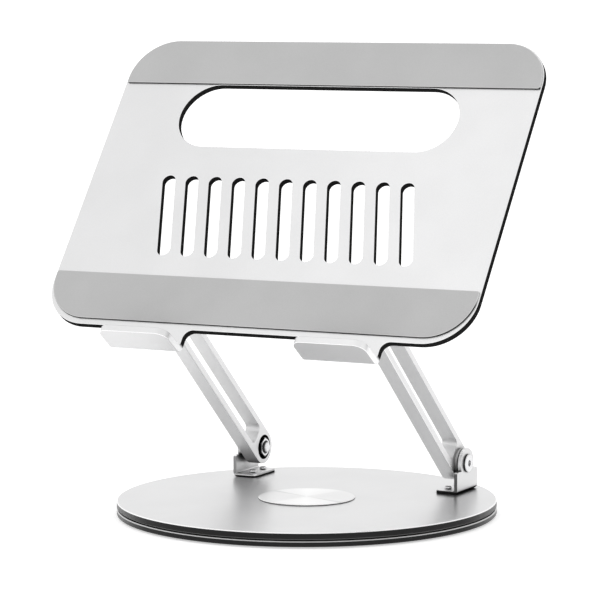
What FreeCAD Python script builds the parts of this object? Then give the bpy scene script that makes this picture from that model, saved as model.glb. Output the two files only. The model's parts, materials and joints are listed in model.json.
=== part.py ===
"""Laptop stand: a round swivel base, two friction arms and a tilting tray.

Millimetres, +Z up, +X to the right and -Y to the front, where the user sits. The origin is on the table,
under the centre of the round base. The stand is modelled in its working pose.
"""
import FreeCAD, Part
import math
import os

V = FreeCAD.Vector
X_AXIS = V(1, 0, 0)
Z_AXIS = V(0, 0, 1)
SIDES = {"left": -1, "right": 1}

# base: two round plates with a thrust bearing between them
BASE_RADIUS = 110.0
FOOT_PROUD = 1.0          # the feet stand this far below the lower plate
LOWER_THICK = 3.2
PLATE_GAP = 0.8
UPPER_THICK = 4.0
PLATE_CHAMFER = 0.5
LOWER_BOTTOM = FOOT_PROUD
LOWER_TOP = LOWER_BOTTOM + LOWER_THICK
UPPER_BOTTOM = LOWER_TOP + PLATE_GAP
BASE_TOP = UPPER_BOTTOM + UPPER_THICK

FOOT_COUNT = 6
FOOT_PHASE = 30.0
FOOT_RADIUS = 8.0
FOOT_CIRCLE = 94.0
FOOT_POCKET = 1.2
FOOT_EDGE = 0.4           # rounding where a foot meets the table

# swivel: a flanged axle held by a washer and a snap ring under the cap
AXLE_RADIUS = 8.0
AXLE_FLANGE_RADIUS = 17.0
AXLE_FLANGE_THICK = 1.0
FLANGE_POCKET = 1.6
AXLE_TIP = 0.5            # beyond the snap ring
RIVET_COUNT = 4
RIVET_PHASE = 45.0
RIVET_CIRCLE = 12.5
RIVET_RADIUS = 1.25
RIVET_HEAD_RADIUS = 2.2
RIVET_HEAD_THICK = 0.4
RUNNING_CLEARANCE = 0.05  # radial, in every pivot
BUSH_WALL = 2.0
RACE_OUTER = 38.0
RACE_INNER = 27.0
RACE_THICK = 0.8
BALL_RADIUS = 1.18
BALL_COUNT = 18
BALL_CIRCLE = 32.5
BALL_PLAY = 0.15          # radial, between a ball and its hole in the cage
CAGE_THICK = 1.2
CAGE_INSET = 1.5          # the cage is this much narrower than the races at each edge
LOWER_RACE_POCKET = 1.4
UPPER_RACE_POCKET = 1.8
CAP_RADIUS = 28.0
CAP_PROUD = 0.8
CAP_CHAMFER = 0.35
CAP_RIM_RADIUS = 23.0
CAP_RIM_WALL = 1.5
CAP_RIM_GAP = 0.2         # between the cap's rim and its pocket's floor
CAP_POCKET = 1.8
RETAINER_RADIUS = 19.0
RETAINER_THICK = 0.5
RING_RADIUS = 11.0
RING_THICK = 0.5
RING_GROOVE_RADIUS = 7.2
RING_MOUTH = 7.0

# arms, their two pivots and the pose they are modelled in
PIVOT_Y = 60.5
PIVOT_ABOVE_BASE = 16.9
ARM_LENGTH = 145.0        # from pivot to pivot
ARM_ANGLE = 42.1          # above the horizontal, leaning to the front
ARM_RADIUS = 10.1         # half the arm's width, and the radius of its ends
ARM_INNER_X = 60.9
ARM_WIDTH_X = 9.4
ARM_EDGE = 0.5            # rounding along the arm's long edges
WINDOW_END = 11.5         # from a pivot to the near end of the window
WINDOW_HALF = 6.3
WINDOW_CORNER = 3.4
RECESS_RADIUS = 7.35
RECESS_DEPTH = 5.2
ARM_BUSH_WALL = 1.2

# hinge hardware, the same at both ends of the arms
BOLT_RADIUS = 3.0
BOLT_HEAD_RADIUS = 5.35
BOLT_HEAD_THICK = 1.4
BOLT_HEAD_EDGE = 0.7
BOLT_SOCKET = 3.5         # hexagon socket, across flats
BOLT_SOCKET_DEPTH = 1.1
BOLT_PROUD = 1.6          # beyond the nut
BOLT_TIP_CHAMFER = 0.5
NUT_FLATS = 10.0
NUT_THICK = 5.2
NUT_CROWN = 60.0          # half angle of the cone that trims the nut's corners
NUT_WASHER_RADIUS = 6.2
NUT_WASHER_THICK = 1.0
FRICTION_RADIUS = 8.4
FRICTION_THICK = 1.2
SPACER_RADIUS = 7.0
SPACER_THICK = 1.0

# bent sheet brackets
SHEET = 2.0
BEND_INNER = 0.8
EAR_HEAD_RADIUS = 8.8
BRACKET_LENGTH = 28.0
FOOT_WIDTH = 14.8         # from the ear's outer face to the foot's free edge
FOOT_CORNER = 4.0
SHOULDER_HEIGHT = 13.0
SHOULDER_CORNER = 1.4
SCREW_SPACING = 13.0
SCREW_RADIUS = 1.5
SCREW_PLAY = 0.1          # radial, in the bracket's holes
SCREW_HEAD_RADIUS = 2.2
SCREW_HEAD_THICK = 1.5
SCREW_HEAD_EDGE = 0.5
SCREW_FROM_EAR = 9.3      # from the ear's outer face
SCREW_DEPTH = 3.0
SCREW_CROSS = (2.8, 0.7, 0.7)       # length, width and depth of the driver recess
TRAY_FOOT_WIDTH = 18.0
TRAY_SHOULDER = 7.0
TRAY_SCREW_HEAD_RADIUS = 3.2
TRAY_SCREW_HEAD_THICK = 1.5
TRAY_SCREW_RADIUS = 1.75
TRAY_SCREW_PROUD = 0.4    # beyond the bracket's foot
TRAY_SCREW_FROM_EAR = 10.5
TRAY_SCREW_SPACING = 12.0
TRAY_SCREW_CROSS = (3.6, 0.8, 0.8)

# tray: one bent sheet, measured up its slope from the front edge
TRAY_TILT = 53.2
TRAY_WIDTH = 270.0
TRAY_DEPTH = 198.0
TRAY_THICK = 4.0
TRAY_CORNER = 28.0
TRAY_EDGE = 0.35
HINGE_FROM_EDGE = 24.1
HINGE_BELOW_TRAY = 11.1   # from the tray's underside to the hinge axis
CUTOUT_LENGTH = 180.0
CUTOUT_RADIUS = 21.7
CUTOUT_CENTRE = 144.5
VENT_COUNT = 11
VENT_PITCH = 15.4
VENT_RADIUS = 4.05
VENT_LENGTH = 55.7
VENT_CENTRE = 75.05
VENT_SLANT = 15.0         # each vent leans to the left going up the tray
VENT_SHIFT = 1.1          # the row sits a little to the right
HOOK_CENTRE = 61.5
HOOK_SHIFT = 1.5          # the pair sits a little to the right
HOOK_WIDTH = 44.2
HOOK_REACH = 14.0         # from the tray's edge to the hook's outer face
HOOK_HEIGHT = 19.0        # above the tray's top face
HOOK_BEND = 5.0           # outer radius of the bend
HOOK_CORNER = 6.5
HOOK_FILLET = 5.5
PAD_THICK = 1.0
PAD_INSET = 0.8           # from the tray's sides and rear edge
PAD_WIDTH = 30.6
PAD_FRONT = 3.6
PAD_EDGE = 0.4
PAD_CORNER = 1.4
PAD_OUTER_CORNER = TRAY_CORNER - PAD_INSET

OVERCUT = 1.0             # cutters run this far past the face they start from

# places worked out from the sizes above
PIVOT = V(0, PIVOT_Y, BASE_TOP + PIVOT_ABOVE_BASE)
ARM_OUTER_X = ARM_INNER_X + ARM_WIDTH_X
EAR_INNER_X = ARM_OUTER_X + FRICTION_THICK + SPACER_THICK
EAR_OUTER_X = EAR_INNER_X + SHEET
ARM_RISE = math.radians(ARM_ANGLE)
HINGE = PIVOT + V(0, -math.cos(ARM_RISE), math.sin(ARM_RISE)) * ARM_LENGTH
BUSH_BORE = BOLT_RADIUS + RUNNING_CLEARANCE


# ---------- small helpers ----------

def disc(radius, bottom, top, x=0.0, y=0.0):
    """Upright cylinder."""
    return Part.makeCylinder(radius, top - bottom, V(x, y, bottom), Z_AXIS)


def ring(outer, inner, bottom, top):
    """Upright tube about the base's centre."""
    return disc(outer, bottom, top).cut(disc(inner, bottom - OVERCUT, top + OVERCUT))


def rod_x(radius, start, end, centre):
    """Cylinder along X through centre, from x = start to x = end."""
    return Part.makeCylinder(radius, end - start, V(start, centre.y, centre.z), X_AXIS)


def hexagon_x(flats, start, end, centre):
    """Hexagonal prism along X."""
    reach = flats / math.sqrt(3)
    points = []
    for k in range(7):
        turn = math.radians(60 * k + 30)
        points.append(V(start, centre.y + reach * math.cos(turn), centre.z + reach * math.sin(turn)))
    return Part.Face(Part.makePolygon(points)).extrude(V(end - start, 0, 0))


def around(shape, count, phase=0.0):
    """Copies of a shape spaced evenly about the base's centre."""
    copies = []
    for k in range(count):
        copy = shape.copy()
        copy.rotate(V(0, 0, 0), Z_AXIS, phase + 360.0 * k / count)
        copies.append(copy)
    return copies


def rounded_face(corners):
    """Flat face in the XY plane. Each corner is (x, y, radius), and radius 0 leaves it sharp."""
    ends = []
    count = len(corners)
    for k, (x, y, radius) in enumerate(corners):
        here = V(x, y, 0)
        to_last = (V(*corners[k - 1][:2], 0) - here).normalize()
        to_next = (V(*corners[(k + 1) % count][:2], 0) - here).normalize()
        half = to_last.getAngle(to_next) / 2
        run = radius / math.tan(half) if radius else 0.0
        middle = (to_last + to_next).normalize() * (radius / math.sin(half) - radius) if radius else V()
        ends.append((here + to_last * run, here + middle, here + to_next * run))
    edges = []
    for k, (start, middle, end) in enumerate(ends):
        if corners[k][2]:
            edges.append(Part.Arc(start, middle, end).toShape())
        after = ends[(k + 1) % count][0]
        if (after - end).Length > 1e-6:
            edges.append(Part.LineSegment(end, after).toShape())
    return Part.Face(Part.Wire(edges))


def rounded_plate(corners, bottom, top):
    """A rounded outline made thick between two heights."""
    plate = rounded_face(corners).extrude(V(0, 0, top - bottom))
    plate.translate(V(0, 0, bottom))
    return plate


def slot(length, radius, place, angle, bottom, top):
    """A cutter with two half-round ends, centred on place and turned by an angle from +X."""
    reach = length / 2 - radius
    ends = [disc(radius, bottom, top, sign * reach) for sign in SIDES.values()]
    middle = Part.makeBox(2 * reach, 2 * radius, top - bottom, V(-reach, -radius, bottom))
    cutter = middle.fuse(ends).removeSplitter()
    cutter.rotate(V(0, 0, 0), Z_AXIS, angle)
    cutter.translate(V(*place, 0))
    return cutter


def cross_recess(x, y, top, size):
    """Two crossed cutters for a driver, sunk into a head whose top is at a given height."""
    length, width, depth = size
    cutters = []
    for wide, deep in ((length, width), (width, length)):
        corner = V(x - wide / 2, y - deep / 2, top - depth)
        cutters.append(Part.makeBox(wide, deep, depth + OVERCUT, corner))
    return cutters


def edges_at(shape, height, tolerance=1e-4):
    """The edges that lie wholly at one height."""
    found = []
    for edge in shape.Edges:
        box = edge.BoundBox
        if abs(box.ZMin - height) < tolerance and abs(box.ZMax - height) < tolerance:
            found.append(edge)
    return found


def on_side(shape, sign):
    """The right-hand shape as made, or its mirror image on the left."""
    return shape if sign > 0 else shape.mirror(V(0, 0, 0), X_AXIS)


def both_sides(shape):
    """The same fastener on both sides, as a group of two solids."""
    return [on_side(shape, sign) for sign in SIDES.values()]


def onto_arm(shape):
    """From the arm's own frame (x, along the arm, across it) to its place."""
    placed = shape.copy()
    placed.rotate(V(0, 0, 0), Z_AXIS, 180)
    placed.rotate(V(0, 0, 0), X_AXIS, -ARM_ANGLE)
    placed.translate(PIVOT)
    return placed


def onto_tray(shape):
    """From the tray's own frame (x, up the slope, off its top face) to its place."""
    placed = shape.copy()
    placed.translate(V(0, -HINGE_FROM_EDGE, TRAY_THICK + HINGE_BELOW_TRAY))
    placed.rotate(V(0, 0, 0), X_AXIS, TRAY_TILT)
    placed.translate(HINGE)
    return placed


def save(name, shapes):
    """Write one node, whether it is one solid or a group of separate ones."""
    shape = Part.makeCompound(shapes) if isinstance(shapes, list) else shapes
    shape.exportStep("parts/" + name + ".step")


# ---------- base and swivel ----------

def base_feet():
    foot = disc(FOOT_RADIUS, 0, LOWER_BOTTOM + FOOT_POCKET, FOOT_CIRCLE, 0)
    foot = foot.makeFillet(FOOT_EDGE, edges_at(foot, 0))
    return around(foot, FOOT_COUNT, FOOT_PHASE)


def base_plate():
    plate = disc(BASE_RADIUS, LOWER_BOTTOM, LOWER_TOP)
    rims = edges_at(plate, LOWER_BOTTOM) + edges_at(plate, LOWER_TOP)
    plate = plate.makeChamfer(PLATE_CHAMFER, rims)
    foot_pocket = disc(FOOT_RADIUS, 0, LOWER_BOTTOM + FOOT_POCKET, FOOT_CIRCLE, 0)
    rivet_hole = disc(RIVET_RADIUS, 0, LOWER_TOP + OVERCUT, RIVET_CIRCLE, 0)
    cuts = around(foot_pocket, FOOT_COUNT, FOOT_PHASE) + around(rivet_hole, RIVET_COUNT, RIVET_PHASE)
    cuts.append(disc(AXLE_FLANGE_RADIUS, 0, LOWER_BOTTOM + FLANGE_POCKET))
    cuts.append(disc(AXLE_RADIUS, 0, LOWER_TOP + OVERCUT))
    cuts.append(ring(RACE_OUTER, RACE_INNER, LOWER_TOP - LOWER_RACE_POCKET, LOWER_TOP + OVERCUT))
    return plate.cut(cuts)


def swivel_axle():
    flange_bottom = LOWER_BOTTOM + FLANGE_POCKET - AXLE_FLANGE_THICK
    flange = disc(AXLE_FLANGE_RADIUS, flange_bottom, LOWER_BOTTOM + FLANGE_POCKET)
    ring_bottom = BASE_TOP - CAP_POCKET + RETAINER_THICK
    stub = disc(AXLE_RADIUS, flange_bottom, ring_bottom + RING_THICK + AXLE_TIP)
    groove = ring(AXLE_RADIUS + OVERCUT, RING_GROOVE_RADIUS, ring_bottom, ring_bottom + RING_THICK)
    rivet_hole = disc(RIVET_RADIUS, 0, LOWER_TOP, RIVET_CIRCLE, 0)
    return flange.fuse(stub).removeSplitter().cut([groove] + around(rivet_hole, RIVET_COUNT, RIVET_PHASE))


def axle_rivets():
    under = LOWER_BOTTOM + FLANGE_POCKET - AXLE_FLANGE_THICK
    shank = disc(RIVET_RADIUS, under, LOWER_TOP, RIVET_CIRCLE, 0)
    head = disc(RIVET_HEAD_RADIUS, under - RIVET_HEAD_THICK, under, RIVET_CIRCLE, 0)
    return around(shank.fuse(head).removeSplitter(), RIVET_COUNT, RIVET_PHASE)


def bearing_races():
    lower = LOWER_TOP - LOWER_RACE_POCKET
    upper = UPPER_BOTTOM + UPPER_RACE_POCKET
    return (ring(RACE_OUTER, RACE_INNER, lower, lower + RACE_THICK),
            ring(RACE_OUTER, RACE_INNER, upper - RACE_THICK, upper))


def bearing_centre():
    """Height of the balls' centres, halfway between the two races."""
    low = LOWER_TOP - LOWER_RACE_POCKET + RACE_THICK
    high = UPPER_BOTTOM + UPPER_RACE_POCKET - RACE_THICK
    return (low + high) / 2


def bearing_balls():
    ball = Part.makeSphere(BALL_RADIUS, V(BALL_CIRCLE, 0, bearing_centre()))
    return around(ball, BALL_COUNT)


def ball_cage():
    half = CAGE_THICK / 2
    middle = bearing_centre()
    cage = ring(RACE_OUTER - CAGE_INSET, RACE_INNER + CAGE_INSET, middle - half, middle + half)
    hole = disc(BALL_RADIUS + BALL_PLAY, middle - CAGE_THICK, middle + CAGE_THICK, BALL_CIRCLE, 0)
    return cage.cut(around(hole, BALL_COUNT))


def turntable_plate():
    plate = disc(BASE_RADIUS, UPPER_BOTTOM, BASE_TOP)
    rims = edges_at(plate, UPPER_BOTTOM) + edges_at(plate, BASE_TOP)
    plate = plate.makeChamfer(PLATE_CHAMFER, rims)
    cuts = [
        disc(AXLE_RADIUS + BUSH_WALL, 0, BASE_TOP + OVERCUT),
        disc(CAP_RIM_RADIUS, BASE_TOP - CAP_POCKET, BASE_TOP + OVERCUT),
        ring(RACE_OUTER, RACE_INNER, UPPER_BOTTOM - OVERCUT, UPPER_BOTTOM + UPPER_RACE_POCKET),
    ]
    for sign in SIDES.values():
        for y in screw_rows(PIVOT_Y, SCREW_SPACING):
            x = sign * (EAR_OUTER_X - SCREW_FROM_EAR)
            cuts.append(disc(SCREW_RADIUS, BASE_TOP - SCREW_DEPTH, BASE_TOP + OVERCUT, x, y))
    return plate.cut(cuts)


def swivel_bush():
    return ring(AXLE_RADIUS + BUSH_WALL, AXLE_RADIUS + RUNNING_CLEARANCE, UPPER_BOTTOM, BASE_TOP - CAP_POCKET)


def retaining_parts():
    floor = BASE_TOP - CAP_POCKET
    low = floor + RETAINER_THICK
    washer = ring(RETAINER_RADIUS, AXLE_RADIUS + RUNNING_CLEARANCE, floor, low)
    snap = ring(RING_RADIUS, RING_GROOVE_RADIUS, low, low + RING_THICK)
    mouth = Part.makeBox(2 * RING_RADIUS, RING_MOUTH, RING_THICK, V(0, -RING_MOUTH / 2, low))
    return washer, snap.cut(mouth)


def hub_cap():
    top = BASE_TOP + CAP_PROUD
    cap = disc(CAP_RADIUS, BASE_TOP, top)
    cap = cap.makeChamfer(CAP_CHAMFER, edges_at(cap, top))
    rim = ring(CAP_RIM_RADIUS, CAP_RIM_RADIUS - CAP_RIM_WALL, BASE_TOP - CAP_POCKET + CAP_RIM_GAP, BASE_TOP)
    return cap.fuse(rim).removeSplitter()


# ---------- brackets ----------

def screw_rows(middle, spacing):
    return (middle - spacing / 2, middle + spacing / 2)


def bend_line(shape, x, z):
    """The straight edge along Y at (x, z), where the sheet turns from foot to ear."""
    found = []
    for edge in shape.Edges:
        box = edge.BoundBox
        away = abs(box.XMin - x) + abs(box.XMax - x) + abs(box.ZMin - z) + abs(box.ZMax - z)
        if away < 1e-3 and box.YLength > BRACKET_LENGTH / 2:
            found.append(edge)
    return found


def bracket(pivot_height, shoulder, foot_width, screws):
    """Bent bracket on z = 0: its ear's bent face is at x = 0, its foot reaches to -X.

    screws is (distance from the ear's bent face, spacing, hole radius).
    """
    half = BRACKET_LENGTH / 2
    side = rounded_face([
        (-half, 0, 0),
        (half, 0, 0),
        (half, shoulder, SHOULDER_CORNER),
        (-half, shoulder, SHOULDER_CORNER),
    ])
    ear = side.extrude(V(0, 0, SHEET))
    ear.rotate(V(0, 0, 0), X_AXIS, 90)
    ear.rotate(V(0, 0, 0), Z_AXIS, 90)
    ear.translate(V(-SHEET, 0, 0))
    head = rod_x(EAR_HEAD_RADIUS, -SHEET, 0, V(0, 0, pivot_height))
    foot = rounded_plate([
        (-foot_width, -half, FOOT_CORNER),
        (0, -half, 0),
        (0, half, 0),
        (-foot_width, half, FOOT_CORNER),
    ], 0, SHEET)
    body = ear.fuse([head, foot]).removeSplitter()
    body = body.makeFillet(BEND_INNER + SHEET, bend_line(body, 0, 0))
    body = body.makeFillet(BEND_INNER, bend_line(body, -SHEET, SHEET))
    from_ear, spacing, radius = screws
    holes = [rod_x(BUSH_BORE, -SHEET - OVERCUT, OVERCUT, V(0, 0, pivot_height))]
    for y in screw_rows(0, spacing):
        holes.append(disc(radius, -OVERCUT, SHEET + OVERCUT, -from_ear, y))
    return body.cut(holes)


def base_bracket():
    screws = (SCREW_FROM_EAR, SCREW_SPACING, SCREW_RADIUS + SCREW_PLAY)
    placed = bracket(PIVOT_ABOVE_BASE, SHOULDER_HEIGHT, FOOT_WIDTH, screws)
    placed.translate(V(EAR_OUTER_X, PIVOT_Y, BASE_TOP))
    return placed


def tray_bracket():
    screws = (TRAY_SCREW_FROM_EAR, TRAY_SCREW_SPACING, TRAY_SCREW_RADIUS)
    placed = bracket(HINGE_BELOW_TRAY, TRAY_SHOULDER, TRAY_FOOT_WIDTH, screws)
    placed.rotate(V(0, 0, 0), V(0, 1, 0), 180)
    placed.translate(V(EAR_INNER_X, HINGE_FROM_EDGE, -TRAY_THICK))
    return onto_tray(placed)


def base_bracket_screws():
    screws = []
    x = EAR_OUTER_X - SCREW_FROM_EAR
    seat = BASE_TOP + SHEET
    top = seat + SCREW_HEAD_THICK
    for y in screw_rows(PIVOT_Y, SCREW_SPACING):
        head = disc(SCREW_HEAD_RADIUS, seat, top, x, y)
        head = head.makeFillet(SCREW_HEAD_EDGE, edges_at(head, top))
        screw = head.fuse(disc(SCREW_RADIUS, BASE_TOP - SCREW_DEPTH, seat, x, y)).removeSplitter()
        screws += both_sides(screw.cut(cross_recess(x, y, top, SCREW_CROSS)))
    return screws


def tray_screw_places():
    x = EAR_INNER_X + TRAY_SCREW_FROM_EAR
    return [(x, v) for v in screw_rows(HINGE_FROM_EDGE, TRAY_SCREW_SPACING)]


def tray_screw(x, v, bottom):
    """Countersunk screw, flush with the tray's top face. Its hole is the same shape."""
    neck = -TRAY_SCREW_HEAD_THICK
    narrow, wide = TRAY_SCREW_RADIUS, TRAY_SCREW_HEAD_RADIUS
    cone = Part.makeCone(narrow, wide, TRAY_SCREW_HEAD_THICK, V(x, v, neck), Z_AXIS)
    return cone.fuse(disc(narrow, bottom, neck, x, v)).removeSplitter()


def tray_bracket_screws():
    screws = []
    for x, v in tray_screw_places():
        screw = tray_screw(x, v, -TRAY_THICK - SHEET - TRAY_SCREW_PROUD)
        screws += both_sides(onto_tray(screw.cut(cross_recess(x, v, 0, TRAY_SCREW_CROSS))))
    return screws


# ---------- arms ----------

def arm():
    """Right-hand arm: a windowed bar with a nut recess on the inner side of each end."""
    r = ARM_RADIUS
    bar = rounded_face([
        (-r, -r, r),
        (ARM_LENGTH + r, -r, r),
        (ARM_LENGTH + r, r, r),
        (-r, r, r),
    ])
    near, far = WINDOW_END, ARM_LENGTH - WINDOW_END
    window = rounded_face([
        (near, -WINDOW_HALF, WINDOW_CORNER),
        (far, -WINDOW_HALF, WINDOW_CORNER),
        (far, WINDOW_HALF, WINDOW_CORNER),
        (near, WINDOW_HALF, WINDOW_CORNER),
    ])
    body = bar.extrude(V(0, 0, ARM_WIDTH_X))
    faces = edges_at(body, 0) + edges_at(body, ARM_WIDTH_X)
    body = body.makeFillet(ARM_EDGE, faces)
    body = body.cut(window.extrude(V(0, 0, ARM_WIDTH_X)))
    for along in (0, ARM_LENGTH):
        recess = disc(RECESS_RADIUS, -OVERCUT, RECESS_DEPTH, along, 0)
        body = body.cut([recess, disc(BUSH_BORE + ARM_BUSH_WALL, 0, ARM_WIDTH_X + OVERCUT, along, 0)])
    body.rotate(V(0, 0, 0), X_AXIS, 90)
    body.rotate(V(0, 0, 0), Z_AXIS, 90)
    body.translate(V(ARM_INNER_X, 0, 0))
    return onto_arm(body)


def arm_bushes():
    bush_outer = BUSH_BORE + ARM_BUSH_WALL
    start = ARM_INNER_X + RECESS_DEPTH
    bushes = []
    for centre in (PIVOT, HINGE):
        bush = rod_x(bush_outer, start, ARM_OUTER_X, centre)
        bushes.append(bush.cut(rod_x(BUSH_BORE, start - OVERCUT, ARM_OUTER_X + OVERCUT, centre)))
    return bushes


# ---------- hinge hardware, made for one pivot on the right-hand side ----------

def hinge_bolt(centre):
    tip = ARM_INNER_X + RECESS_DEPTH - NUT_WASHER_THICK - NUT_THICK - BOLT_PROUD
    head = Part.makeCylinder(BOLT_HEAD_RADIUS, BOLT_HEAD_THICK, V(0, 0, 0), Z_AXIS)
    head = head.makeFillet(BOLT_HEAD_EDGE, edges_at(head, BOLT_HEAD_THICK))
    head.rotate(V(0, 0, 0), V(0, 1, 0), 90)
    head.translate(V(EAR_OUTER_X, centre.y, centre.z))
    shank = Part.makeCylinder(BOLT_RADIUS, EAR_OUTER_X - tip, V(0, 0, 0), Z_AXIS)
    shank = shank.makeChamfer(BOLT_TIP_CHAMFER, edges_at(shank, 0))
    shank.rotate(V(0, 0, 0), V(0, 1, 0), 90)
    shank.translate(V(tip, centre.y, centre.z))
    top = EAR_OUTER_X + BOLT_HEAD_THICK
    socket = hexagon_x(BOLT_SOCKET, top - BOLT_SOCKET_DEPTH, top + OVERCUT, centre)
    return head.fuse(shank).removeSplitter().cut(socket)


def hinge_nut(centre):
    end = ARM_INNER_X + RECESS_DEPTH - NUT_WASHER_THICK
    start = end - NUT_THICK
    nut = hexagon_x(NUT_FLATS, start, end, centre)
    small = NUT_FLATS / 2
    large = small + NUT_THICK * math.tan(math.radians(NUT_CROWN))
    crown = Part.makeCone(small, large, NUT_THICK, V(start, centre.y, centre.z), X_AXIS)
    return nut.common(crown).cut(rod_x(BOLT_RADIUS, start - OVERCUT, end + OVERCUT, centre))


def washer_x(radius, start, thick, centre):
    plain = rod_x(radius, start, start + thick, centre)
    return plain.cut(rod_x(BUSH_BORE, start - OVERCUT, start + thick + OVERCUT, centre))


def hinge_hardware(prefix, centre):
    """The bolts, nuts and washers of one pair of hinges, one node each."""
    under_nut = ARM_INNER_X + RECESS_DEPTH - NUT_WASHER_THICK
    parts = {
        "bolts": hinge_bolt(centre),
        "nuts": hinge_nut(centre),
        "washers": washer_x(NUT_WASHER_RADIUS, under_nut, NUT_WASHER_THICK, centre),
    }
    for name, shape in parts.items():
        save(prefix + "_hinge_" + name, both_sides(shape))
    friction = washer_x(FRICTION_RADIUS, ARM_OUTER_X, FRICTION_THICK, centre)
    save(prefix + "_friction_washers", both_sides(friction))
    spacer = washer_x(SPACER_RADIUS, ARM_OUTER_X + FRICTION_THICK, SPACER_THICK, centre)
    save(prefix + "_spacers", both_sides(spacer))


# ---------- tray, in its own frame: x, v up the slope, n off its top face ----------

def hook_spans():
    middles = [HOOK_SHIFT + sign * HOOK_CENTRE for sign in SIDES.values()]
    return [(middle - HOOK_WIDTH / 2, middle + HOOK_WIDTH / 2) for middle in middles]


def tray_outline():
    flat_end = -(HOOK_REACH - HOOK_BEND)
    half = TRAY_WIDTH / 2
    corners = [(-half, 0, TRAY_CORNER)]
    for start, end in hook_spans():
        corners += [(start, 0, HOOK_FILLET), (start, flat_end, 0), (end, flat_end, 0), (end, 0, HOOK_FILLET)]
    corners += [(half, 0, TRAY_CORNER), (half, TRAY_DEPTH, TRAY_CORNER), (-half, TRAY_DEPTH, TRAY_CORNER)]
    return corners


def hook(start, end):
    """Bend and upright wall of one hook, from the end of its flat tab."""
    bend_v = -(HOOK_REACH - HOOK_BEND)
    inner = HOOK_BEND - TRAY_THICK
    outer = HOOK_BEND
    lean = math.sqrt(0.5)

    def at(v, n):
        return V(start, v, n)

    inner_arc = Part.Arc(at(bend_v, 0), at(bend_v - inner * lean, inner - inner * lean),
                         at(bend_v - inner, inner))
    outer_arc = Part.Arc(at(bend_v - outer, inner), at(bend_v - outer * lean, inner - outer * lean),
                         at(bend_v, inner - outer))
    wall = [at(bend_v - inner, inner), at(bend_v - inner, HOOK_HEIGHT), at(bend_v - outer, HOOK_HEIGHT),
            at(bend_v - outer, inner)]
    edges = [inner_arc.toShape()]
    edges += [Part.LineSegment(a, b).toShape() for a, b in zip(wall, wall[1:])]
    edges += [outer_arc.toShape(), Part.LineSegment(at(bend_v, inner - outer), at(bend_v, 0)).toShape()]
    bent = Part.Face(Part.Wire(edges)).extrude(V(end - start, 0, 0))
    below = inner - outer - OVERCUT
    front = rounded_face([
        (start, below, 0),
        (end, below, 0),
        (end, HOOK_HEIGHT, HOOK_CORNER),
        (start, HOOK_HEIGHT, HOOK_CORNER),
    ]).extrude(V(0, 0, HOOK_REACH + OVERCUT))
    front.rotate(V(0, 0, 0), X_AXIS, 90)
    return bent.common(front)


def sheet_edges(shape):
    """The edges that run round the sheet's two faces, but not across its thickness or along its bends."""
    found = []
    bend_v = -(HOOK_REACH - HOOK_BEND)
    bend_n = HOOK_BEND - TRAY_THICK
    for edge in shape.Edges:
        box = edge.BoundBox
        across = abs(edge.Length - TRAY_THICK) < 1e-3
        on_tab_end = abs(box.YMin - bend_v) + abs(box.YMax - bend_v) < 1e-3
        on_wall_start = abs(box.ZMin - bend_n) + abs(box.ZMax - bend_n) < 1e-3
        if not across and not on_tab_end and not on_wall_start:
            found.append(edge)
    return found


def tray_plate():
    plate = rounded_plate(tray_outline(), -TRAY_THICK, 0)
    below, above = -TRAY_THICK - OVERCUT, OVERCUT
    cuts = [slot(CUTOUT_LENGTH, CUTOUT_RADIUS, (0, CUTOUT_CENTRE), 0, below, above)]
    for k in range(VENT_COUNT):
        x = VENT_SHIFT + (k - (VENT_COUNT - 1) / 2) * VENT_PITCH
        cuts.append(slot(VENT_LENGTH, VENT_RADIUS, (x, VENT_CENTRE), 90 + VENT_SLANT, below, above))
    plate = plate.cut(cuts)
    body = plate.fuse([hook(*span) for span in hook_spans()]).removeSplitter()
    body = body.makeFillet(TRAY_EDGE, sheet_edges(body))
    holes = []
    for x, v in tray_screw_places():
        holes += both_sides(tray_screw(x, v, below))
    return onto_tray(body.cut(holes))


def pad(low, high, low_corner, high_corner):
    """Silicone strip across the tray, between two distances up its slope."""
    half = TRAY_WIDTH / 2 - PAD_INSET
    strip = rounded_plate([
        (-half, low, low_corner),
        (half, low, low_corner),
        (half, high, high_corner),
        (-half, high, high_corner),
    ], 0, PAD_THICK)
    strip = strip.makeFillet(PAD_EDGE, edges_at(strip, PAD_THICK))
    return onto_tray(strip)


def main():
    os.makedirs("parts", exist_ok=True)
    save("base_feet", base_feet())
    save("base_plate", base_plate())
    save("swivel_axle", swivel_axle())
    save("axle_rivets", axle_rivets())
    race_lower, race_upper = bearing_races()
    save("bearing_race_lower", race_lower)
    save("bearing_race_upper", race_upper)
    save("ball_cage", ball_cage())
    save("bearing_balls", bearing_balls())
    save("turntable_plate", turntable_plate())
    save("swivel_bush", swivel_bush())
    washer, snap = retaining_parts()
    save("retaining_washer", washer)
    save("retaining_ring", snap)
    save("hub_cap", hub_cap())
    shapes = {"base_bracket": base_bracket(), "arm": arm(), "tray_bracket": tray_bracket()}
    for name, shape in shapes.items():
        for side, sign in SIDES.items():
            save(name + "_" + side, on_side(shape, sign))
    bushes = arm_bushes()
    for side, sign in SIDES.items():
        save("arm_" + side + "_bushes", [on_side(bush, sign) for bush in bushes])
    save("base_bracket_screws", base_bracket_screws())
    save("tray_bracket_screws", tray_bracket_screws())
    hinge_hardware("base", PIVOT)
    hinge_hardware("tray", HINGE)
    save("tray_plate", tray_plate())
    save("pad_bottom", pad(PAD_FRONT, PAD_FRONT + PAD_WIDTH, PAD_OUTER_CORNER, PAD_CORNER))
    top = TRAY_DEPTH - PAD_INSET
    save("pad_top", pad(top - PAD_WIDTH, top, PAD_CORNER, PAD_OUTER_CORNER))


main()
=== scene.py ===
"""The looks of a folding laptop stand: its finishes, the silicone strips, the studio and the camera."""

import json
import math

import bmesh
import bpy
from mathutils import Matrix, Vector


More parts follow.
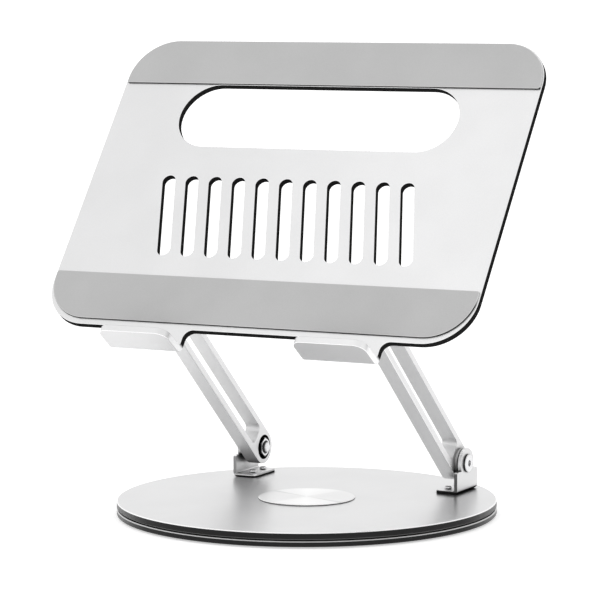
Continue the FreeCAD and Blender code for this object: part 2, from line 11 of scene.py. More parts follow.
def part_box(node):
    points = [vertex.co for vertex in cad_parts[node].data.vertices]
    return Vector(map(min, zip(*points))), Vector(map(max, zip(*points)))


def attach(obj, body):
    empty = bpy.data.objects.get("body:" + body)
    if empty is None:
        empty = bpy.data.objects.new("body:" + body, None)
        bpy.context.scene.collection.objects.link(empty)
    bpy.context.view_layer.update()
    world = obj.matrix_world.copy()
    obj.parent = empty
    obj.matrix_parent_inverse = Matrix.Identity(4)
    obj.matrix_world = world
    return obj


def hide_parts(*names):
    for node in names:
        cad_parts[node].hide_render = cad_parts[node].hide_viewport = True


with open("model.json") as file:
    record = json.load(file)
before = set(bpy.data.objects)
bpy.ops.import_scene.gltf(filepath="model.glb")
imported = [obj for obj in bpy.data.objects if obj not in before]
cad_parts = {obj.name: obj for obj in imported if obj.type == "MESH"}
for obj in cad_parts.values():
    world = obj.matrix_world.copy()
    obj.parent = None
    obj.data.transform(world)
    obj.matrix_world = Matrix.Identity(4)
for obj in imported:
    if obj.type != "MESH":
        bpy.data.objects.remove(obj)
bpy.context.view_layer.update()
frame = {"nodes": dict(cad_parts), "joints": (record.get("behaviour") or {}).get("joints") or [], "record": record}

MM = 0.001

# Sizes of the part, the same as in its source, and how far the laptop_rest mount lies from the tray's front
PAD_THICKNESS = 1 * MM
TRAY_THICKNESS = 4 * MM
LAPTOP_REST_FROM_FRONT = 181.5 * MM
RECESS_RADIUS = 7.35 * MM
SHOULDER = 13 * MM
SCREWS_FROM_EAR = 9.3 * MM
SCREW_SPACING = 13 * MM
SCREW_SEAT = 2 * MM

# Directions and places read from the frame
X = Vector((1, 0, 0))
Y = Vector((0, 1, 0))
Z = Vector((0, 0, 1))
MOUNTS = {mount["name"]: mount for mount in frame["record"]["mounts"]}
JOINTS = {joint["name"]: joint for joint in frame["joints"]}
TRAY_UP = Vector(MOUNTS["laptop_rest"]["axis"])
TRAY_ALONG = TRAY_UP.cross(X)
TRAY_FACE = Vector(MOUNTS["laptop_rest"]["pos_m"]) - TRAY_UP * PAD_THICKNESS
TRAY_FRONT = TRAY_FACE - TRAY_ALONG * LAPTOP_REST_FROM_FRONT
TRAY_UNDERSIDE = TRAY_FACE - TRAY_UP * TRAY_THICKNESS
ARM_PIVOT = Vector(JOINTS["arm_lift"]["pos_m"])
TRAY_PIVOT = Vector(JOINTS["tray_tilt"]["pos_m"])
BASE_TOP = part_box("turntable_plate")[1].z
UPPER_PLATE_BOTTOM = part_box("turntable_plate")[0].z
EAR_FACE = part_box("base_bracket_right")[1].x
SCREW_FOOT = BASE_TOP + SCREW_SEAT

# Level directions on the part. The cap's wedges of painted highlight lie along the first, which points forwards
# and to the right, and its painted dark line lies across the third
STREAK = Vector((0.467, -0.884, 0))
ACROSS_STREAK = Vector((0.884, 0.467, 0))
ACROSS_DARK_LINE = Vector((0.314, 0.946, 0)).normalized()

# Where the painted light and shade change on the part. HOOK_START counts from the tray's front edge and HOOK_TIP
# from its face, the foot's heights, where its painted shadow ends, from the bracket's foot, and the arm's heights
# from its lower hinge
MIDDLE = 10 * MM
HOOK_START = -8 * MM
HOOK_TIP = 18 * MM
FOOT_TOP = 1.4 * MM
FOOT_LEFT = 1.0 * MM
FOOT_RIGHT = 1.7 * MM
ARM_LOW = -2 * MM
ARM_HIGH = 22 * MM
SOCKET_RADIUS = 3.2 * MM
RING_RADIUS = 3.9 * MM
DRIVER_RADIUS = 1.7 * MM

# Tones, where 0 is black and 1 is white, and roughnesses of single places on a finish. The dark tones are painted
# shade, the pale tones painted highlights, and the polished corners are also smoother
EDGE_SHADE_TONE = 0.012
CUT_ROUGHNESS = 0.38
POLISHED_HIGHLIGHT_TONE = 0.97
POLISHED_ROUGHNESS = 0.22
CAP_RIM_SHADE_TONE = 0.08
STRIP_RIM_HIGHLIGHT_TONE = 0.6
STRIP_FRONT_SHADE_TONE = 0.02

# How strongly single places are darkened by painted shade, where 1 is in full
LOWER_PLATE_CHAMFER = 0.4
UPPER_PLATE_CHAMFER = 0.87
PLATE_ENDS = 0.9
HOOK_TIP_DARK = 0.5
BRACKET_CUT_LEFT = 0.62
BRACKET_CUT_RIGHT = 0.87
BOLT_THREAD = 0.8
BOLT_HEAD = 0.97
SCREW_DARK = 0.95
NUT_DARK = 0.85

# How bright single places stay under painted shade, where 1 is unchanged
ARM_RIGHT_SIDE = 0.87
ARM_LEFT_FRONT = 0.92
ARM_UNDER = 0.05
BRACKET_RIGHT_SIDE = 0.8

# Blue against red and green
COOL_ALUMINIUM = 1.004
COOL_ZINC = 1.01

# Sizes of the grains, lines and clouds in the finishes
BLAST_GRAIN = 0.35 * MM
BLAST_CLOUD = 38 * MM
TURNED_LINES = 0.35 * MM
ZINC_GRAIN = 0.4 * MM
SOFT_GRAIN = 0.5 * MM
SILICONE_CLOUD = 30 * MM
FLOOR_CLOUD = 60 * MM

# The middle range of a noise, where nearly all of its values lie
NOISE_LOW = 0.3
NOISE_HIGH = 0.7

# The strips' shapes
STRIP_RIM = 0.4 * MM
STRIP_RIM_STEPS = 4
WELD = 0.001 * MM
NEARLY_FLAT = 0.99
FLAT = 0.999

# The studio and the camera
FLOOR_RADIUS = 60.0
FLOOR_SIDES = 96
FLOOR_GLOW = 0.45
KEY_DIRECTION = Vector((-0.55, -0.45, 0.70)).normalized()
AZIMUTH = math.radians(27.8387)
ELEVATION = math.radians(6.1993)
ROLL = math.radians(-0.19562)
DISTANCE = 1.71761
TARGET_RIGHT = -0.0026284
TARGET_HEIGHT = 0.1243226
SENSOR_WIDTH = 36
LENS = 178.12


# ---------------------------------------------------------------- shader helpers


def add(tree, kind, inputs=None, **settings):
    """A shader node; its inputs are numbers, colours or other nodes' output sockets."""
    node = tree.nodes.new("ShaderNode" + kind)
    for name, value in settings.items():
        setattr(node, name, value)
    for key, value in (inputs or {}).items():
        if isinstance(value, bpy.types.NodeSocket):
            tree.links.new(value, node.inputs[key])
        else:
            node.inputs[key].default_value = value
    return node


def calc(tree, operation, first, second=0.0):
    """The result of a sum with one or two numbers or sockets."""
    return add(tree, "Math", {0: first, 1: second}, operation=operation).outputs[0]


def vector_calc(tree, operation, first, second=(0, 0, 0)):
    """The outputs of a sum with vectors: 0 is a vector and "Value" a number."""
    return add(tree, "VectorMath", {0: first, 1: second}, operation=operation).outputs


def product(tree, first, *others):
    """All the values multiplied together."""
    for value in others:
        first = calc(tree, "MULTIPLY", first, value)
    return first


def highest(tree, first, *others):
    """The highest of all the values."""
    for value in others:
        first = calc(tree, "MAXIMUM", first, value)
    return first


def inverse(tree, share):
    """1 where share is 0 and 0 where it is 1."""
    return calc(tree, "SUBTRACT", 1.0, share)


def ramp(tree, value, low, high, start=0.0, end=1.0):
    """start where value is at low, end where it is at high, and a smooth step between them. low may be the
    larger of the two."""
    inputs = {"Value": value, "From Min": low, "From Max": high, "To Min": start, "To Max": end}
    return add(tree, "MapRange", inputs, interpolation_type="SMOOTHSTEP").outputs["Result"]


def around(tree, grain, middle, spread):
    """Values that a noise moves up to spread away from middle."""
    return ramp(tree, grain, NOISE_LOW, NOISE_HIGH, middle - spread, middle + spread)


def grey_mix(tree, share, first, second):
    """first where share is 0 and second where it is 1, both plain numbers or sockets."""
    return add(tree, "Mix", {"Factor": share, 2: first, 3: second}).outputs[0]


def colour_mix(tree, share, first, second, blend="MIX"):
    """The same for two colours."""
    node = add(tree, "Mix", {"Factor": share, 6: first, 7: second}, data_type="RGBA", blend_type=blend)
    return node.outputs[2]


def grey(tree, tone, blue=1.0):
    """A colour with the same tone in red and green, and its blue scaled."""
    return add(tree, "CombineColor", {0: tone, 1: tone, 2: product(tree, tone, blue)}).outputs[0]


def coordinates(tree):
    """(position, normal) sockets of the surface in the row frame at rest."""
    source = add(tree, "TexCoord")
    return source.outputs["Object"], source.outputs["Normal"]


def along(tree, vector, axis, origin=None):
    """How far a vector, or a position from origin, reaches along axis. For a normal that is 1 where the
    surface faces the axis, 0 where it lies along it and -1 where it faces away."""
    if origin is not None:
        vector = vector_calc(tree, "SUBTRACT", vector, origin)[0]
    return vector_calc(tree, "DOT_PRODUCT", vector, axis)["Value"]


def size_along(tree, vector, axis):
    """The same without its sign."""
    return calc(tree, "ABSOLUTE", along(tree, vector, axis))


def on_right(tree, position):
    """1 to the right of the part's middle and 0 to its left."""
    return ramp(tree, along(tree, position, X), -MIDDLE, MIDDLE)


def near_hinge(tree, position, radius, fade):
    """1 within radius of either hinge's axis, falling to 0 over fade."""
    flat = vector_calc(tree, "MULTIPLY", position, (0, 1, 1))[0]
    shares = []
    for pivot in (ARM_PIVOT, TRAY_PIVOT):
        away = vector_calc(tree, "DISTANCE", flat, (0, pivot.y, pivot.z))["Value"]
        shares.append(ramp(tree, away, radius + fade, radius))
    return highest(tree, *shares)


def noise(tree, position, size, detail=2.0, roughness=0.5):
    """Noise whose grains are about size metres across."""
    inputs = {"Vector": position, "Scale": 1 / size, "Detail": detail, "Roughness": roughness}
    return add(tree, "TexNoise", inputs).outputs["Fac"]


def crisp_grain(tree, position, size):
    """Noise with strong fine detail, for plated, moulded and pressed surfaces."""
    return noise(tree, position, size, detail=4.0, roughness=0.6)


def shading(tree, reach, darkest):
    """Painted shade: from darkest in tight corners up to 1 in the open, where nothing is within reach."""
    node = add(tree, "AmbientOcclusion", {"Distance": reach}, samples=8)
    return ramp(tree, node.outputs["AO"], 0.15, 0.95, darkest, 1.0)


def new_material(name):
    """(material, node tree, shader) of a new material."""
    material = bpy.data.materials.new(name)
    material.use_nodes = True
    tree = material.node_tree
    return material, tree, tree.nodes["Principled BSDF"]


def surface(tree, shader, colour, roughness, relief, depth, strength=0.4):
    """Gives a shader its colour, its roughness and a relief that is depth metres deep."""
    tree.links.new(colour, shader.inputs["Base Color"])
    tree.links.new(roughness, shader.inputs["Roughness"])
    bump = add(tree, "Bump", {"Height": relief, "Distance": depth, "Strength": strength})
    tree.links.new(bump.outputs["Normal"], shader.inputs["Normal"])


# ---------------------------------------------------------------- aluminium


def blasted_aluminium(name, tone, roughness, edges, corner=5 * MM, open_face=None, painted_light=None, gloss=0.0):
    """Bead-blasted, clear anodised aluminium. edges(tree, position, normal) gives two shares: edges painted near
    black as painted shade, and rounded corners that are polished, smoother and painted paler as a painted
    highlight. Painted shade darkens corners within corner metres, but not on the side facing open_face, and
    the optional painted light function of (tree, position, normal) scales the tone from place to place as
    painted light and shade. gloss is the shine of the edges painted dark."""
    material, tree, shader = new_material(name)
    position, normal = coordinates(tree)
    dark, bright = edges(tree, position, normal)
    grain = noise(tree, position, BLAST_GRAIN, detail=3.0)
    cloud = noise(tree, position, BLAST_CLOUD)
    # Painted shade in the corners
    corners = shading(tree, corner, 0.25)
    if open_face is not None:
        corners = grey_mix(tree, ramp(tree, along(tree, normal, open_face), 0.9, 0.97), corners, 1.0)
    shade = product(tree, around(tree, grain, 1.0, 0.025), around(tree, cloud, 1.0, 0.015), corners)
    if painted_light is not None:
        shade = product(tree, shade, painted_light(tree, position, normal))
    # Rounded corners painted bright as a painted highlight, and edges painted near black as painted shade
    face = grey_mix(tree, bright, product(tree, shade, tone), POLISHED_HIGHLIGHT_TONE)
    face = grey_mix(tree, dark, face, EDGE_SHADE_TONE)
    rough = grey_mix(tree, bright, around(tree, grain, roughness, 0.03), POLISHED_ROUGHNESS)
    rough = grey_mix(tree, dark, rough, CUT_ROUGHNESS)
    tree.links.new(inverse(tree, dark), shader.inputs["Metallic"])
    shader.inputs["Specular IOR Level"].default_value = gloss
    surface(tree, shader, grey(tree, face, COOL_ALUMINIUM), rough, grain, 0.02 * MM, 0.35)
    return material


def edge_shade_and_highlight(tree, normal, flat_axis, turn):
    """Edges painted near black as painted shade, and rounded corners painted bright as a painted highlight, of a
    flat plate that lies across flat_axis. The corners are bright down to where the normal leans by turn, its share
    along flat_axis."""
    face = along(tree, normal, flat_axis)
    low = turn - 0.09
    high = turn + 0.09
    dark = product(tree, ramp(tree, face, high, low), ramp(tree, face, -0.97, -0.9))
    bright = product(tree, ramp(tree, face, low, high), ramp(tree, face, 0.99, 0.96))
    return dark, bright


def plate_edges(tree, position, normal):
    """The base plates' rims, painted near black as painted shade that is slightly weaker at both ends, and
    polished top chamfers painted bright as a painted highlight. The lower plate's top chamfer gets some painted
    shade, and the upper plate's lower chamfer less painted shade than its rim."""
    dark, bright = edge_shade_and_highlight(tree, normal, Z, 0.5)
    height = along(tree, position, Z)
    lower_plate = ramp(tree, height, UPPER_PLATE_BOTTOM, UPPER_PLATE_BOTTOM - 0.2 * MM)
    upper_plate = ramp(tree, height, UPPER_PLATE_BOTTOM - 0.3 * MM, UPPER_PLATE_BOTTOM - 0.1 * MM)
    dark = highest(tree, dark, product(tree, bright, lower_plate, LOWER_PLATE_CHAMFER))
    chamfer = product(tree, ramp(tree, along(tree, normal, Z), -0.5, -0.65), upper_plate)
    ends = ramp(tree, size_along(tree, normal, ACROSS_STREAK), 0.8, 1.0, 1.0, PLATE_ENDS)
    return product(tree, dark, ends, grey_mix(tree, chamfer, 1.0, UPPER_PLATE_CHAMFER)), bright


def tray_edges(tree, position, normal):
    """The tray's cut edges are painted near black as painted shade. On its two hooks only the backs of the tips
    are, by half, and the front corners are painted bright as a painted highlight."""
    dark, bright = edge_shade_and_highlight(tree, normal, TRAY_UP, 0.7)
    height = along(tree, position, TRAY_UP, TRAY_FACE)
    front = along(tree, position, TRAY_ALONG, TRAY_FRONT)
    facing = along(tree, normal, TRAY_ALONG)
    sideways = size_along(tree, normal, X)
    wall = product(tree, ramp(tree, front, HOOK_START, HOOK_START - 1.5 * MM),
                   ramp(tree, sideways, 0.7, 0.5))
    side = product(tree, ramp(tree, front, HOOK_START - 0.5 * MM, HOOK_START - 3 * MM),
                   ramp(tree, sideways, 0.5, 0.7))
    upright = ramp(tree, height, 0.2 * MM, 0.8 * MM)
    plate = product(tree, inverse(tree, wall), inverse(tree, side), inverse(tree, upright))
    # Painted highlight on the hooks' front corners, and painted shade on the backs of their tips
    corner = product(tree, ramp(tree, facing, -0.25, -0.45), ramp(tree, facing, -0.97, -0.9), upright)
    tip = product(tree, ramp(tree, facing, 0.3, 0.6), ramp(tree, height, HOOK_TIP, HOOK_TIP + 0.5 * MM),
                  HOOK_TIP_DARK)
    dark = highest(tree, product(tree, dark, plate), tip)
    bright = highest(tree, product(tree, bright, plate), corner)
    return dark, bright


def arm_edges(tree, position, normal):
    """An arm's right-hand side meets its rim in a corner painted bright as a painted highlight; the nut's recess
    is painted dark as painted shade.
    """
    side = along(tree, normal, X)
    bright = product(tree, ramp(tree, side, 0.2, 0.45), ramp(tree, side, 0.95, 0.85))
    dark = near_hinge(tree, position, RECESS_RADIUS + 0.05 * MM, 0.1 * MM)
    return dark, product(tree, bright, inverse(tree, dark))


def bracket_edges(front_axis, up_axis, low_point):
    """A bent bracket's cut edges are painted dark grey up to its shoulder as painted shade. Its foot is painted
    black as a painted shadow, its underside black as painted shade, and its rounded corners bright as a painted
    highlight.
    """

    def edges(tree, position, normal):
        facing = size_along(tree, normal, front_axis)
        upwards = along(tree, normal, up_axis)
        height = along(tree, position, up_axis, low_point)
        right = on_right(tree, position)
        low = ramp(tree, height, SHOULDER + 1 * MM, SHOULDER - 1 * MM)
        above_foot = ramp(tree, height, FOOT_TOP, FOOT_TOP + 0.4 * MM)
        cut = product(tree, ramp(tree, facing, 0.75, 0.92), low, above_foot,
                      grey_mix(tree, right, BRACKET_CUT_LEFT, BRACKET_CUT_RIGHT))
        # A painted shadow along the foot, and painted shade on the underside
        foot = calc(tree, "DIVIDE", height, grey_mix(tree, right, FOOT_LEFT, FOOT_RIGHT))
        foot = product(tree, ramp(tree, foot, 1.1, 0.9), ramp(tree, upwards, 0.6, 0.4))
        dark = highest(tree, cut, foot, ramp(tree, upwards, -0.3, -0.5))
        bright = product(tree, ramp(tree, facing, 0.25, 0.45), ramp(tree, facing, 0.8, 0.7))
        return dark, product(tree, bright, inverse(tree, dark))

    return edges


def right_faces(tree, normal, tone):
    """tone on faces that look to the right, and 1 elsewhere: painted shade that dulls one side."""
    return ramp(tree, along(tree, normal, X), 0.8, 0.95, 1.0, tone)


def tray_painted_light_and_shade(tree, position, normal):
    """Painted light: the tray grows a little paler to the right, and painted shade makes the hooks' fronts darker.
    """
    across = along(tree, position, X)
    face = ramp(tree, across, -120 * MM, 120 * MM, 0.955, 1.045)
    hook = ramp(tree, across, -30 * MM, 40 * MM, 0.86, 0.9)
    front = ramp(tree, along(tree, normal, TRAY_ALONG), -0.6, -0.9)
    return grey_mix(tree, front, face, hook)


def arm_painted_shade(tree, position, normal):
    """Painted shade: both arms' right sides are duller, the left arm's front is a little darker, and its rim much
    darker where it turns under towards the base."""
    left = inverse(tree, on_right(tree, position))
    under = ramp(tree, along(tree, normal, Z), -0.74, -0.92, 1.0, ARM_UNDER)
    low = ramp(tree, along(tree, position, Z), ARM_PIVOT.z + ARM_HIGH, ARM_PIVOT.z + ARM_LOW)
    front = product(tree, ramp(tree, along(tree, normal, Y), -0.5, -0.62), left)
    return product(tree, right_faces(tree, normal, ARM_RIGHT_SIDE),
                   grey_mix(tree, front, 1.0, ARM_LEFT_FRONT),
                   grey_mix(tree, product(tree, low, left), 1.0, under))


def bracket_painted_shade(tree, position, normal):
    """Painted shade: the brackets' right-hand faces are duller."""
    return right_faces(tree, normal, BRACKET_RIGHT_SIDE)


def spun_aluminium(name):
    """A disc turned with fine concentric lines. Two wedges of painted highlight meet at its centre, with a painted
    dark line beside them, painted shade in its corners, and its rim is painted dark as painted shade."""
    material, tree, shader = new_material(name)
    position, normal = coordinates(tree)
    flat = vector_calc(tree, "MULTIPLY", position, (1, 1, 0))[0]
    outwards = vector_calc(tree, "NORMALIZE", flat)[0]
    radius = vector_calc(tree, "LENGTH", flat)["Value"]
    lines = add(tree, "TexNoise", {"W": radius, "Scale": 1 / TURNED_LINES, "Detail": 3.0},
                noise_dimensions="1D").outputs["Fac"]
    # Wedges of painted highlight and a painted dark line between them
    highlight_wedge = ramp(tree, size_along(tree, outwards, STREAK), 0.64, 0.76, 0.9, 0.955)
    painted_dark_line = ramp(tree, size_along(tree, outwards, ACROSS_DARK_LINE), 0.0, 0.11, 0.8, 1.0)
    face = product(tree, highlight_wedge, painted_dark_line, around(tree, lines, 1.0, 0.015), shading(tree, 1.5 * MM, 0.3))
    # The rim is painted dark as painted shade
    rim = ramp(tree, along(tree, normal, Z), 0.35, 0.2)
    face = grey_mix(tree, rim, face, CAP_RIM_SHADE_TONE)
    shader.inputs["Metallic"].default_value = 1.0
    shader.inputs["Anisotropic"].default_value = 0.85
    tangent = add(tree, "Tangent", direction_type="RADIAL", axis="Z")
    tree.links.new(tangent.outputs[0], shader.inputs["Tangent"])
    surface(tree, shader, grey(tree, face), around(tree, lines, 0.33, 0.03), lines, 0.01 * MM, 0.3)
    return material


# ---------------------------------------------------------------- zinc-plated steel


def zinc(name, shadows, tone, spread, roughness, corner, darkest, black, gloss=None):
    """Bright zinc plate. shadows(tree, position, normal) gives the share painted dark as painted shadow, whose
    tone is black. Painted shade darkens corners down to darkest within corner metres. Where gloss is given, it
    is the shine of the dark share, which is then no metal."""
    material, tree, shader = new_material(name)
    position, normal = coordinates(tree)
    dark = shadows(tree, position, normal)
    grain = crisp_grain(tree, position, ZINC_GRAIN)
    face = product(tree, around(tree, grain, tone, spread), shading(tree, corner, darkest))
    face = grey_mix(tree, dark, face, black)
    if gloss is None:
        shader.inputs["Metallic"].default_value = 1.0
    else:
        tree.links.new(inverse(tree, dark), shader.inputs["Metallic"])
        shader.inputs["Specular IOR Level"].default_value = gloss
    rough = around(tree, grain, roughness, 0.05)
    surface(tree, shader, grey(tree, face, COOL_ZINC), rough, grain, 0.01 * MM)
    return material


def bolt_shadows(tree, position, normal):
    """Painted shade on the sides of the bolts, their threads less than their heads, but not on the walls of the
    sockets.
    """
    outside = ramp(tree, size_along(tree, position, X), EAR_FACE - 0.2 * MM, EAR_FACE)
    side = ramp(tree, size_along(tree, normal, X), 0.45, 0.25)
    socket = product(tree, near_hinge(tree, position, SOCKET_RADIUS, 0.4 * MM), outside)
    return product(tree, side, inverse(tree, socket), grey_mix(tree, outside, BOLT_THREAD, BOLT_HEAD))


def screw_shadows(tree, position, normal):
    """Painted shade in the driver recess of each screw, and at the foot of its head's side towards the front."""
    height = along(tree, position, Z)
    across = calc(tree, "SUBTRACT", size_along(tree, position, X), EAR_FACE - SCREWS_FROM_EAR)
    forth = calc(tree, "ABSOLUTE", calc(tree, "SUBTRACT", along(tree, position, Y), ARM_PIVOT.y))
    forth = calc(tree, "SUBTRACT", forth, SCREW_SPACING / 2)
    away = vector_calc(tree, "LENGTH", add(tree, "CombineXYZ", {0: across, 1: forth}).outputs[0])["Value"]
    recess = product(tree, ramp(tree, away, DRIVER_RADIUS + 0.3 * MM, DRIVER_RADIUS),
                     ramp(tree, along(tree, normal, Z), 0.8, 0.9),
                     ramp(tree, height, BASE_TOP + 5 * MM, BASE_TOP + 4 * MM))
    foot = product(tree, ramp(tree, size_along(tree, normal, Z), 0.6, 0.4),
                   ramp(tree, along(tree, normal, STREAK), 0.6, 0.9),
                   ramp(tree, height, SCREW_FOOT + 0.8 * MM, SCREW_FOOT + 0.5 * MM))
    return product(tree, highest(tree, recess, foot), SCREW_DARK)


def nut_shadows(tree, position, normal):
    """Painted shade on the nuts' flats, the front of their crowns and a ring where the thread starts."""
    facing = size_along(tree, normal, X)
    flats = ramp(tree, facing, 0.35, 0.2, 0.0, NUT_DARK)
    forwards = ramp(tree, along(tree, normal, Y), -0.05, -0.3)
    front = product(tree, ramp(tree, facing, 0.97, 0.9), forwards, NUT_DARK)
    return highest(tree, flats, front, near_hinge(tree, position, RING_RADIUS, 0.3 * MM))


# ---------------------------------------------------------------- other materials


def silicone(name):
    """Matt grey silicone, with a painted highlight along its rounded rim and painted shade on its front side."""
    material, tree, shader = new_material(name)
    position, normal = coordinates(tree)
    facing = along(tree, normal, TRAY_UP)
    forwards = ramp(tree, along(tree, normal, TRAY_ALONG), -0.02, -0.25)
    grain = crisp_grain(tree, position, SOFT_GRAIN)
    cloud = noise(tree, position, SILICONE_CLOUD)
    tone = product(tree, around(tree, grain, 0.47, 0.015), around(tree, cloud, 1.0, 0.02))
    # A painted highlight on the rim and painted shade on the front side
    rim = product(tree, ramp(tree, facing, 0.6, 0.75), ramp(tree, facing, 0.99, 0.95))
    front = product(tree, ramp(tree, facing, 0.78, 0.6), forwards)
    tone = grey_mix(tree, rim, tone, STRIP_RIM_HIGHLIGHT_TONE)
    tone = grey_mix(tree, front, tone, STRIP_FRONT_SHADE_TONE)
    shader.inputs["Specular IOR Level"].default_value = 0.25
    surface(tree, shader, grey(tree, tone), around(tree, grain, 0.74, 0.06), grain, 0.04 * MM)
    return material


def friction_fibre(name):
    """A dark grey fibre disc, with painted light that makes it paler where it faces up, as along the top of its
    rim, and painted shade that makes it near black where it faces down.
    """
    material, tree, shader = new_material(name)
    position, normal = coordinates(tree)
    grain = crisp_grain(tree, position, SOFT_GRAIN)
    # Painted light on upward faces and painted shade on downward ones
    tone = ramp(tree, along(tree, normal, Z), -0.6, 0.8, 0.015, 0.5)
    tone = product(tree, tone, around(tree, grain, 1.0, 0.2))
    shader.inputs["Specular IOR Level"].default_value = 0.3
    surface(tree, shader, grey(tree, tone), around(tree, grain, 0.78, 0.06), grain, 0.06 * MM)
    return material


def speckled(name, colour, metallic, roughness, size, spread, depth, specular=0.5):
    """A plain material with a fine uneven grain in its colour, gloss and surface, and painted shade in its
    corners.
    """
    material, tree, shader = new_material(name)
    position, _ = coordinates(tree)
    grain = crisp_grain(tree, position, size)
    dull = [channel * (1 - spread) for channel in colour] + [1]
    light = [min(1, channel * (1 + spread)) for channel in colour] + [1]
    tone = colour_mix(tree, around(tree, grain, 0.5, 0.5), dull, light)
    # Painted shade in the corners
    tone = colour_mix(tree, 1.0, tone, grey(tree, shading(tree, 2.5 * MM, 0.3)), "MULTIPLY")
    shader.inputs["Metallic"].default_value = metallic
    shader.inputs["Specular IOR Level"].default_value = specular
    surface(tree, shader, tone, around(tree, grain, roughness, 0.05), grain, depth)
    return material


# ---------------------------------------------------------------- pieces and their finishes


def paint(nodes, material):
    """Gives CAD nodes a material."""
    for name in nodes:
        frame["nodes"][name].data.materials.clear()
        frame["nodes"][name].data.materials.append(material)


def slot_nodes(slot):
    """The names of the CAD nodes in a material slot."""
    return [part["node"] for part in frame["record"]["subparts"] if part["material_slot"] == slot]


def strip_shape(node):
    """A bmesh with the outline of a CAD strip, raised to its thickness, with a rounded top rim."""
    shape = bmesh.new()
    shape.from_mesh(frame["nodes"][node].data)
    bmesh.ops.remove_doubles(shape, verts=shape.verts, dist=WELD)
    rest = [face for face in shape.faces if face.normal.dot(TRAY_UP) > -NEARLY_FLAT]
    bmesh.ops.delete(shape, geom=rest, context="FACES")
    bmesh.ops.dissolve_faces(shape, faces=shape.faces)
    raised = bmesh.ops.extrude_face_region(shape, geom=shape.faces[:], use_keep_orig=True)["geom"]
    corners = [item for item in raised if isinstance(item, bmesh.types.BMVert)]
    bmesh.ops.translate(shape, vec=TRAY_UP * PAD_THICKNESS, verts=corners)
    bmesh.ops.recalc_face_normals(shape, faces=shape.faces)
    top = [face for face in shape.faces if face.normal.dot(TRAY_UP) > NEARLY_FLAT]
    rim = list(dict.fromkeys(edge for face in top for edge in face.edges))
    bmesh.ops.bevel(shape, geom=rim, offset=STRIP_RIM, segments=STRIP_RIM_STEPS, profile=0.5, affect="EDGES")
    return shape


def silicone_strip(node, material):
    """A strip with a softly rounded top rim in place of its CAD solid."""
    shape = strip_shape(node)
    for face in shape.faces:
        upwards = face.normal.dot(TRAY_UP)
        face.smooth = abs(upwards) <= FLAT
        if upwards < -FLAT:
            for edge in face.edges:
                edge.smooth = False
    mesh = bpy.data.meshes.new(node + "_strip")
    shape.to_mesh(mesh)
    shape.free()
    strip = bpy.data.objects.new(node + "_strip", mesh)
    bpy.context.scene.collection.objects.link(strip)
    mesh.materials.append(material)
    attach(strip, "tray")
    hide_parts(node)


paint(slot_nodes("tray_aluminium"),
      blasted_aluminium("tray_finish", tone=0.80, roughness=0.40, edges=tray_edges, corner=3 * MM,
                        open_face=TRAY_UP, painted_light=tray_painted_light_and_shade))
paint(slot_nodes("arm_aluminium"),
      blasted_aluminium("arm_finish", tone=0.78, roughness=0.40, edges=arm_edges, painted_light=arm_painted_shade))
paint(["base_bracket_left", "base_bracket_right"],
      blasted_aluminium("base_bracket_finish", tone=0.80, roughness=0.38,
                        edges=bracket_edges(Y, Z, Vector((0, 0, BASE_TOP))), painted_light=bracket_painted_shade))
paint(["tray_bracket_left", "tray_bracket_right"],
      blasted_aluminium("tray_bracket_finish", tone=0.80, roughness=0.38,
                        edges=bracket_edges(TRAY_ALONG, -TRAY_UP, TRAY_UNDERSIDE), painted_light=bracket_painted_shade))
paint(slot_nodes("base_aluminium"),
      blasted_aluminium("base_finish", tone=0.755, roughness=0.31, edges=plate_edges, corner=3 * MM,
                        gloss=0.12))
paint(slot_nodes("spun_cap"), spun_aluminium("spun_cap_finish"))
paint(slot_nodes("black_rubber"),
      speckled("rubber", (0.02, 0.02, 0.02), metallic=0.0, roughness=0.75, size=0.6 * MM, spread=0.3,
               depth=0.05 * MM, specular=0.3))
paint(slot_nodes("zinc_steel"),
      speckled("zinc_plate", (0.72, 0.72, 0.73), metallic=1.0, roughness=0.27, size=0.4 * MM, spread=0.06,
               depth=0.01 * MM))
paint(["base_bracket_screws"],
      zinc("zinc_screws", screw_shadows, tone=0.74, spread=0.04, roughness=0.31, corner=0.8 * MM,
           darkest=0.5, black=0.015))
paint(["base_hinge_bolts", "tray_hinge_bolts"],
      zinc("zinc_bolts", bolt_shadows, tone=0.70, spread=0.04, roughness=0.27, corner=2.5 * MM,
           darkest=0.55, black=0.01, gloss=0.1))
paint(["base_hinge_nuts", "tray_hinge_nuts"],
      zinc("zinc_nuts", nut_shadows, tone=0.67, spread=0.05, roughness=0.29, corner=2.5 * MM,
           darkest=0.25, black=0.02))
paint(slot_nodes("bearing_steel"),
      speckled("ground_steel", (0.62, 0.62, 0.63), metallic=1.0, roughness=0.16, size=0.3 * MM, spread=0.04,
               depth=0.005 * MM))
paint(slot_nodes("nylon"),
      speckled("natural_nylon", (0.78, 0.76, 0.70), metallic=0.0, roughness=0.5, size=0.8 * MM, spread=0.04,
               depth=0.02 * MM))
paint(slot_nodes("friction_fibre"), friction_fibre("fibre"))

silicone_finish = silicone("silicone")
for pad in slot_nodes("grey_silicone"):
    silicone_strip(pad, silicone_finish)


# ---------------------------------------------------------------- studio


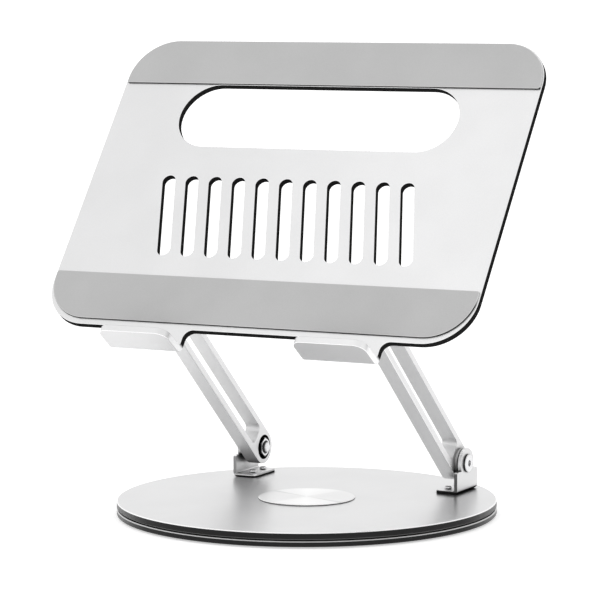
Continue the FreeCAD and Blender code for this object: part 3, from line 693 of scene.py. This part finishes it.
def white_floor():
    """A pale floor that nearly clips to white, with only a trace of shadow under the object."""
    shape = bmesh.new()
    bmesh.ops.create_circle(shape, cap_ends=True, segments=FLOOR_SIDES, radius=FLOOR_RADIUS)
    mesh = bpy.data.meshes.new("floor")
    shape.to_mesh(mesh)
    shape.free()
    floor = bpy.data.objects.new("floor", mesh)
    bpy.context.scene.collection.objects.link(floor)
    material, tree, shader = new_material("floor_paint")
    position, _ = coordinates(tree)
    tone = around(tree, noise(tree, position, FLOOR_CLOUD), 0.85, 0.01)
    tree.links.new(grey(tree, tone), shader.inputs["Base Color"])
    shader.inputs["Roughness"].default_value = 0.9
    shader.inputs["Specular IOR Level"].default_value = 0.0
    shader.inputs["Emission Color"].default_value = (1, 1, 1, 1)
    shader.inputs["Emission Strength"].default_value = FLOOR_GLOW
    mesh.materials.append(material)


def studio_world():
    """A white studio: even all round at eye level, weaker overhead and stronger high up on the left."""
    world = bpy.data.worlds.new("studio")
    world.use_nodes = True
    tree = world.node_tree
    background = tree.nodes["Background"]
    direction = add(tree, "TexCoord").outputs["Generated"]
    key = ramp(tree, along(tree, direction, KEY_DIRECTION), 0.3, 1.0, 0.0, 0.12)
    roof = ramp(tree, along(tree, direction, Z), 0.25, 1.0, 1.02, 0.9)
    tree.links.new(calc(tree, "ADD", key, roof), background.inputs["Strength"])
    background.inputs["Color"].default_value = (1, 1, 1, 1)
    bpy.context.scene.world = world


def camera():
    """A long lens a little above the base, in front of the object and to its right."""
    right = Vector((math.cos(AZIMUTH), math.sin(AZIMUTH), 0))
    level = Vector((math.sin(AZIMUTH), -math.cos(AZIMUTH), 0))
    back = level * math.cos(ELEVATION) + Z * math.sin(ELEVATION)
    up = back.cross(right)
    target = right * TARGET_RIGHT + Z * TARGET_HEIGHT
    turned_right = right * math.cos(ROLL) + up * math.sin(ROLL)
    turned_up = up * math.cos(ROLL) - right * math.sin(ROLL)
    data = bpy.data.cameras.new("camera")
    data.sensor_width = SENSOR_WIDTH
    data.lens = LENS
    data.clip_start = 0.05
    data.clip_end = 500
    item = bpy.data.objects.new("camera", data)
    turn = Matrix((turned_right, turned_up, back)).transposed()
    item.matrix_world = Matrix.Translation(target + back * DISTANCE) @ turn.to_4x4()
    bpy.context.scene.collection.objects.link(item)
    bpy.context.scene.camera = item


white_floor()
studio_world()
camera()
bpy.context.scene.view_settings.view_transform = "Standard"
